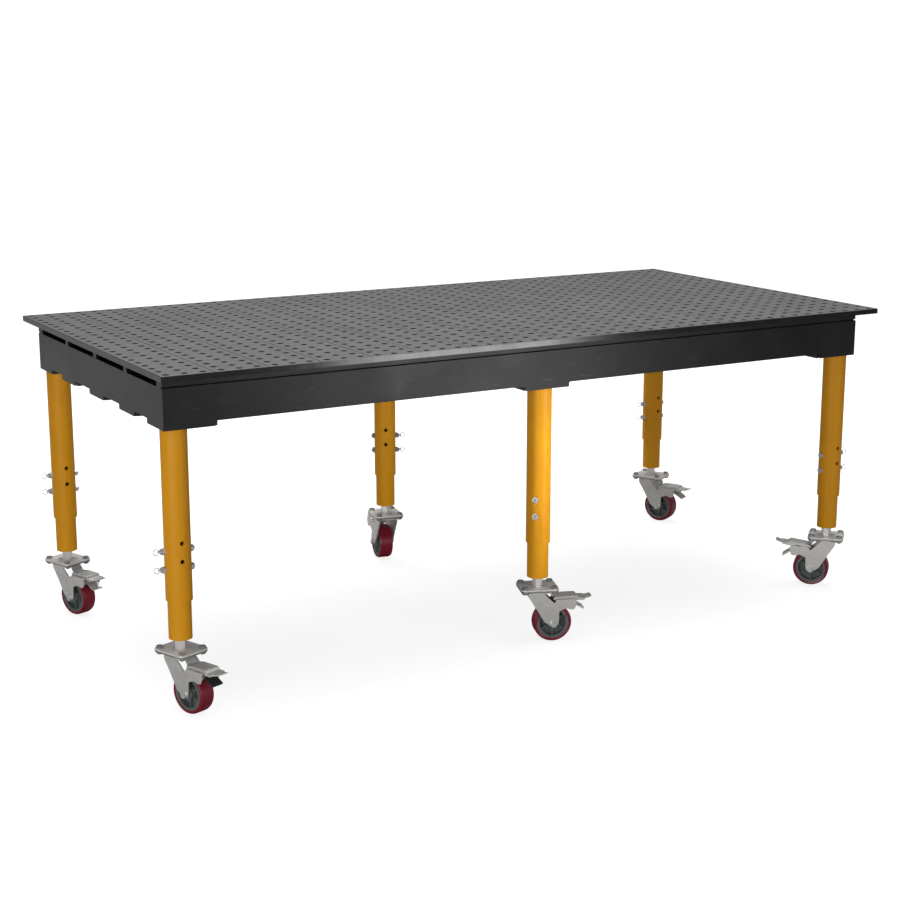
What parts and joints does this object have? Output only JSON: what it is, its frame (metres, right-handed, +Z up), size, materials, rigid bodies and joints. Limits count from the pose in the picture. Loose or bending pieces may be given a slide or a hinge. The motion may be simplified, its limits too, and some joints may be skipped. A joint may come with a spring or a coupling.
{
  "type": "welding table",
  "caption": "Drilled steel plank welding table on round telescopic legs with pull pins and total-lock swivel casters.",
  "frame": {"origin": "centre of the work surface, the middle of the hole grid, at the deck's top face", "axes": "+X along the length, +Y across the width away from the front, +Z up out of the work surface"},
  "size_m": [2.4067, 1.2902, 0.928],
  "materials": {
    "deck_steel": "nitrided, satin",
    "screw_steel": "black oxide, satin",
    "frame_steel": "nitrided, satin",
    "leg_paint": "amber powder coat, semi-gloss",
    "zinc": "zinc plated",
    "caster_zinc": "zinc plated, pressed",
    "hub_iron": "grey paint, satin",
    "tread": "moulded polyurethane, satin"
  },
  "bodies": {
    "frame": {"deck_planks": "deck_steel", "deck_screws": "screw_steel", "deck_rails": "frame_steel", "front_skirt": "frame_steel", "back_skirt": "frame_steel", "end_skirts": "frame_steel", "cross_plates": "frame_steel", "lengthwise_ribs": "frame_steel", "leg_mount_plates": "frame_steel", "leg_sleeves": "leg_paint", "pin_collars": "zinc", "leg_bolts": "zinc"},
    "inner_leg_front_left": {"inner_tube_front_left": "leg_paint", "caster_mount_front_left": "caster_zinc"},
    "pins_front_left": {"locking_pins_front_left": "zinc"},
    "fork_front_left": {"caster_fork_front_left": "caster_zinc"},
    "wheel_front_left": {"wheel_tread_front_left": "tread", "wheel_hub_front_left": "hub_iron"},
    "pedal_front_left": {"brake_pedal_front_left": "caster_zinc"},
    "lever_front_left": {"release_lever_front_left": "caster_zinc"},
    "inner_leg_front_middle": {"inner_tube_front_middle": "leg_paint", "caster_mount_front_middle": "caster_zinc"},
    "pins_front_middle": {"locking_pins_front_middle": "zinc"},
    "fork_front_middle": {"caster_fork_front_middle": "caster_zinc"},
    "wheel_front_middle": {"wheel_tread_front_middle": "tread", "wheel_hub_front_middle": "hub_iron"},
    "pedal_front_middle": {"brake_pedal_front_middle": "caster_zinc"},
    "lever_front_middle": {"release_lever_front_middle": "caster_zinc"},
    "inner_leg_front_right": {"inner_tube_front_right": "leg_paint", "caster_mount_front_right": "caster_zinc"},
    "pins_front_right": {"locking_pins_front_right": "zinc"},
    "fork_front_right": {"caster_fork_front_right": "caster_zinc"},
    "wheel_front_right": {"wheel_tread_front_right": "tread", "wheel_hub_front_right": "hub_iron"},
    "pedal_front_right": {"brake_pedal_front_right": "caster_zinc"},
    "lever_front_right": {"release_lever_front_right": "caster_zinc"},
    "inner_leg_back_left": {"inner_tube_back_left": "leg_paint", "caster_mount_back_left": "caster_zinc"},
    "pins_back_left": {"locking_pins_back_left": "zinc"},
    "fork_back_left": {"caster_fork_back_left": "caster_zinc"},
    "wheel_back_left": {"wheel_tread_back_left": "tread", "wheel_hub_back_left": "hub_iron"},
    "pedal_back_left": {"brake_pedal_back_left": "caster_zinc"},
    "lever_back_left": {"release_lever_back_left": "caster_zinc"},
    "inner_leg_back_middle": {"inner_tube_back_middle": "leg_paint", "caster_mount_back_middle": "caster_zinc"},
    "pins_back_middle": {"locking_pins_back_middle": "zinc"},
    "fork_back_middle": {"caster_fork_back_middle": "caster_zinc"},
    "wheel_back_middle": {"wheel_tread_back_middle": "tread", "wheel_hub_back_middle": "hub_iron"},
    "pedal_back_middle": {"brake_pedal_back_middle": "caster_zinc"},
    "lever_back_middle": {"release_lever_back_middle": "caster_zinc"},
    "inner_leg_back_right": {"inner_tube_back_right": "leg_paint", "caster_mount_back_right": "caster_zinc"},
    "pins_back_right": {"locking_pins_back_right": "zinc"},
    "fork_back_right": {"caster_fork_back_right": "caster_zinc"},
    "wheel_back_right": {"wheel_tread_back_right": "tread", "wheel_hub_back_right": "hub_iron"},
    "pedal_back_right": {"brake_pedal_back_right": "caster_zinc"},
    "lever_back_right": {"release_lever_back_right": "caster_zinc"}
  },
  "joints": [
    {"name": "leg_height_front_left", "type": "slide", "parent": "frame", "child": "inner_leg_front_left", "axis": [0, 0, -1], "range_m": [-0.05, 0.25]},
    {"name": "pin_pull_front_left", "type": "slide", "parent": "frame", "child": "pins_front_left", "axis": [-1, 0, 0], "range_m": [0, 0.1]},
    {"name": "caster_swivel_front_left", "type": "hinge", "parent": "inner_leg_front_left", "child": "fork_front_left", "pos_m": [-1.126, -0.4855, -0.776], "axis": [0, 0, 1], "continuous": true},
    {"name": "wheel_spin_front_left", "type": "hinge", "parent": "fork_front_left", "child": "wheel_front_left", "pos_m": [-1.11052, -0.52669, -0.8705], "axis": [0.9361, 0.3518, 0], "continuous": true},
    {"name": "brake_pedal_front_left", "type": "hinge", "parent": "fork_front_left", "child": "pedal_front_left", "pos_m": [-1.10207, -0.54915, -0.8035], "axis": [-0.9361, -0.3518, 0], "range_deg": [0, 12]},
    {"name": "release_lever_front_left", "type": "hinge", "parent": "fork_front_left", "child": "lever_front_left", "pos_m": [-1.09469, -0.56881, -0.805], "axis": [-0.9361, -0.3518, 0], "range_deg": [-6, 0]},
    {"name": "leg_height_front_middle", "type": "slide", "parent": "frame", "child": "inner_leg_front_middle", "axis": [0, 0, -1], "range_m": [-0.05, 0.25]},
    {"name": "pin_pull_front_middle", "type": "slide", "parent": "frame", "child": "pins_front_middle", "axis": [-0.6947, -0.7193, 0], "range_m": [0, 0.1]},
    {"name": "caster_swivel_front_middle", "type": "hinge", "parent": "inner_leg_front_middle", "child": "fork_front_middle", "pos_m": [0, -0.4855, -0.776], "axis": [0, 0, 1], "continuous": true},
    {"name": "wheel_spin_front_middle", "type": "hinge", "parent": "fork_front_middle", "child": "wheel_front_middle", "pos_m": [0.04119, -0.50098, -0.8705], "axis": [0.3518, 0.9361, 0], "continuous": true},
    {"name": "brake_pedal_front_middle", "type": "hinge", "parent": "fork_front_middle", "child": "pedal_front_middle", "pos_m": [0.06365, -0.50943, -0.8035], "axis": [-0.3518, -0.9361, 0], "range_deg": [0, 12]},
    {"name": "release_lever_front_middle", "type": "hinge", "parent": "fork_front_middle", "child": "lever_front_middle", "pos_m": [0.08331, -0.51681, -0.805], "axis": [-0.3518, -0.9361, 0], "range_deg": [-6, 0]},
    {"name": "leg_height_front_right", "type": "slide", "parent": "frame", "child": "inner_leg_front_right", "axis": [0, 0, -1], "range_m": [-0.05, 0.25]},
    {"name": "pin_pull_front_right", "type": "slide", "parent": "frame", "child": "pins_front_right", "axis": [1, 0, 0], "range_m": [0, 0.1]},
    {"name": "caster_swivel_front_right", "type": "hinge", "parent": "inner_leg_front_right", "child": "fork_front_right", "pos_m": [1.126, -0.4855, -0.776], "axis": [0, 0, 1], "continuous": true},
    {"name": "wheel_spin_front_right", "type": "hinge", "parent": "fork_front_right", "child": "wheel_front_right", "pos_m": [1.09516, -0.45412, -0.8705], "axis": [-0.7133, -0.7009, 0], "continuous": true},
    {"name": "brake_pedal_front_right", "type": "hinge", "parent": "fork_front_right", "child": "pedal_front_right", "pos_m": [1.07834, -0.437, -0.8035], "axis": [0.7133, 0.7009, 0], "range_deg": [-7, 5]},
    {"name": "release_lever_front_right", "type": "hinge", "parent": "fork_front_right", "child": "lever_front_right", "pos_m": [1.06362, -0.42202, -0.805], "axis": [0.7133, 0.7009, 0], "range_deg": [-2.5, 3.5]},
    {"name": "leg_height_back_left", "type": "slide", "parent": "frame", "child": "inner_leg_back_left", "axis": [0, 0, -1], "range_m": [-0.05, 0.25]},
    {"name": "pin_pull_back_left", "type": "slide", "parent": "frame", "child": "pins_back_left", "axis": [-1, 0, 0], "range_m": [0, 0.1]},
    {"name": "caster_swivel_back_left", "type": "hinge", "parent": "inner_leg_back_left", "child": "fork_back_left", "pos_m": [-1.126, 0.4855, -0.776], "axis": [0, 0, 1], "continuous": true},
    {"name": "wheel_spin_back_left", "type": "hinge", "parent": "fork_back_left", "child": "wheel_back_left", "pos_m": [-1.11009, 0.44448, -0.8705], "axis": [0.9323, 0.3616, 0], "continuous": true},
    {"name": "brake_pedal_back_left", "type": "hinge", "parent": "fork_back_left", "child": "pedal_back_left", "pos_m": [-1.10141, 0.4221, -0.8035], "axis": [-0.9323, -0.3616, 0], "range_deg": [0, 12]},
    {"name": "release_lever_back_left", "type": "hinge", "parent": "fork_back_left", "child": "lever_back_left", "pos_m": [-1.09381, 0.40252, -0.805], "axis": [-0.9323, -0.3616, 0], "range_deg": [-6, 0]},
    {"name": "leg_height_back_middle", "type": "slide", "parent": "frame", "child": "inner_leg_back_middle", "axis": [0, 0, -1], "range_m": [-0.05, 0.25]},
    {"name": "pin_pull_back_middle", "type": "slide", "parent": "frame", "child": "pins_back_middle", "axis": [0.9205, -0.3907, 0], "range_m": [0, 0.1]},
    {"name": "caster_swivel_back_middle", "type": "hinge", "parent": "inner_leg_back_middle", "child": "fork_back_middle", "pos_m": [0, 0.4855, -0.776], "axis": [0, 0, 1], "continuous": true},
    {"name": "wheel_spin_back_middle", "type": "hinge", "parent": "fork_back_middle", "child": "wheel_back_middle", "pos_m": [0.00794, 0.52878, -0.8705], "axis": [-0.9836, 0.1805, 0], "continuous": true},
    {"name": "brake_pedal_back_middle", "type": "hinge", "parent": "fork_back_middle", "child": "pedal_back_middle", "pos_m": [0.01227, 0.55238, -0.8035], "axis": [0.9836, -0.1805, 0], "range_deg": [0, 12]},
    {"name": "release_lever_back_middle", "type": "hinge", "parent": "fork_back_middle", "child": "lever_back_middle", "pos_m": [0.01607, 0.57304, -0.805], "axis": [0.9836, -0.1805, 0], "range_deg": [-6, 0]},
    {"name": "leg_height_back_right", "type": "slide", "parent": "frame", "child": "inner_leg_back_right", "axis": [0, 0, -1], "range_m": [-0.05, 0.25]},
    {"name": "pin_pull_back_right", "type": "slide", "parent": "frame", "child": "pins_back_right", "axis": [-1, 0, 0], "range_m": [0, 0.1]},
    {"name": "caster_swivel_back_right", "type": "hinge", "parent": "inner_leg_back_right", "child": "fork_back_right", "pos_m": [1.126, 0.4855, -0.776], "axis": [0, 0, 1], "continuous": true},
    {"name": "wheel_spin_back_right", "type": "hinge", "parent": "fork_back_right", "child": "wheel_back_right", "pos_m": [1.14556, 0.44609, -0.8705], "axis": [0.8957, 0.4446, 0], "continuous": true},
    {"name": "brake_pedal_back_right", "type": "hinge", "parent": "fork_back_right", "child": "pedal_back_right", "pos_m": [1.15623, 0.42459, -0.8035], "axis": [-0.8957, -0.4446, 0], "range_deg": [0, 12]},
    {"name": "release_lever_back_right", "type": "hinge", "parent": "fork_back_right", "child": "lever_back_right", "pos_m": [1.16557, 0.40578, -0.805], "axis": [-0.8957, -0.4446, 0], "range_deg": [-6, 0]}
  ],
  "couplings": [
    {"joint": "release_lever_front_left", "follows": "brake_pedal_front_left", "ratio": -0.5},
    {"joint": "release_lever_front_middle", "follows": "brake_pedal_front_middle", "ratio": -0.5},
    {"joint": "release_lever_front_right", "follows": "brake_pedal_front_right", "ratio": -0.5},
    {"joint": "release_lever_back_left", "follows": "brake_pedal_back_left", "ratio": -0.5},
    {"joint": "release_lever_back_middle", "follows": "brake_pedal_back_middle", "ratio": -0.5},
    {"joint": "release_lever_back_right", "follows": "brake_pedal_back_right", "ratio": -0.5}
  ]
}
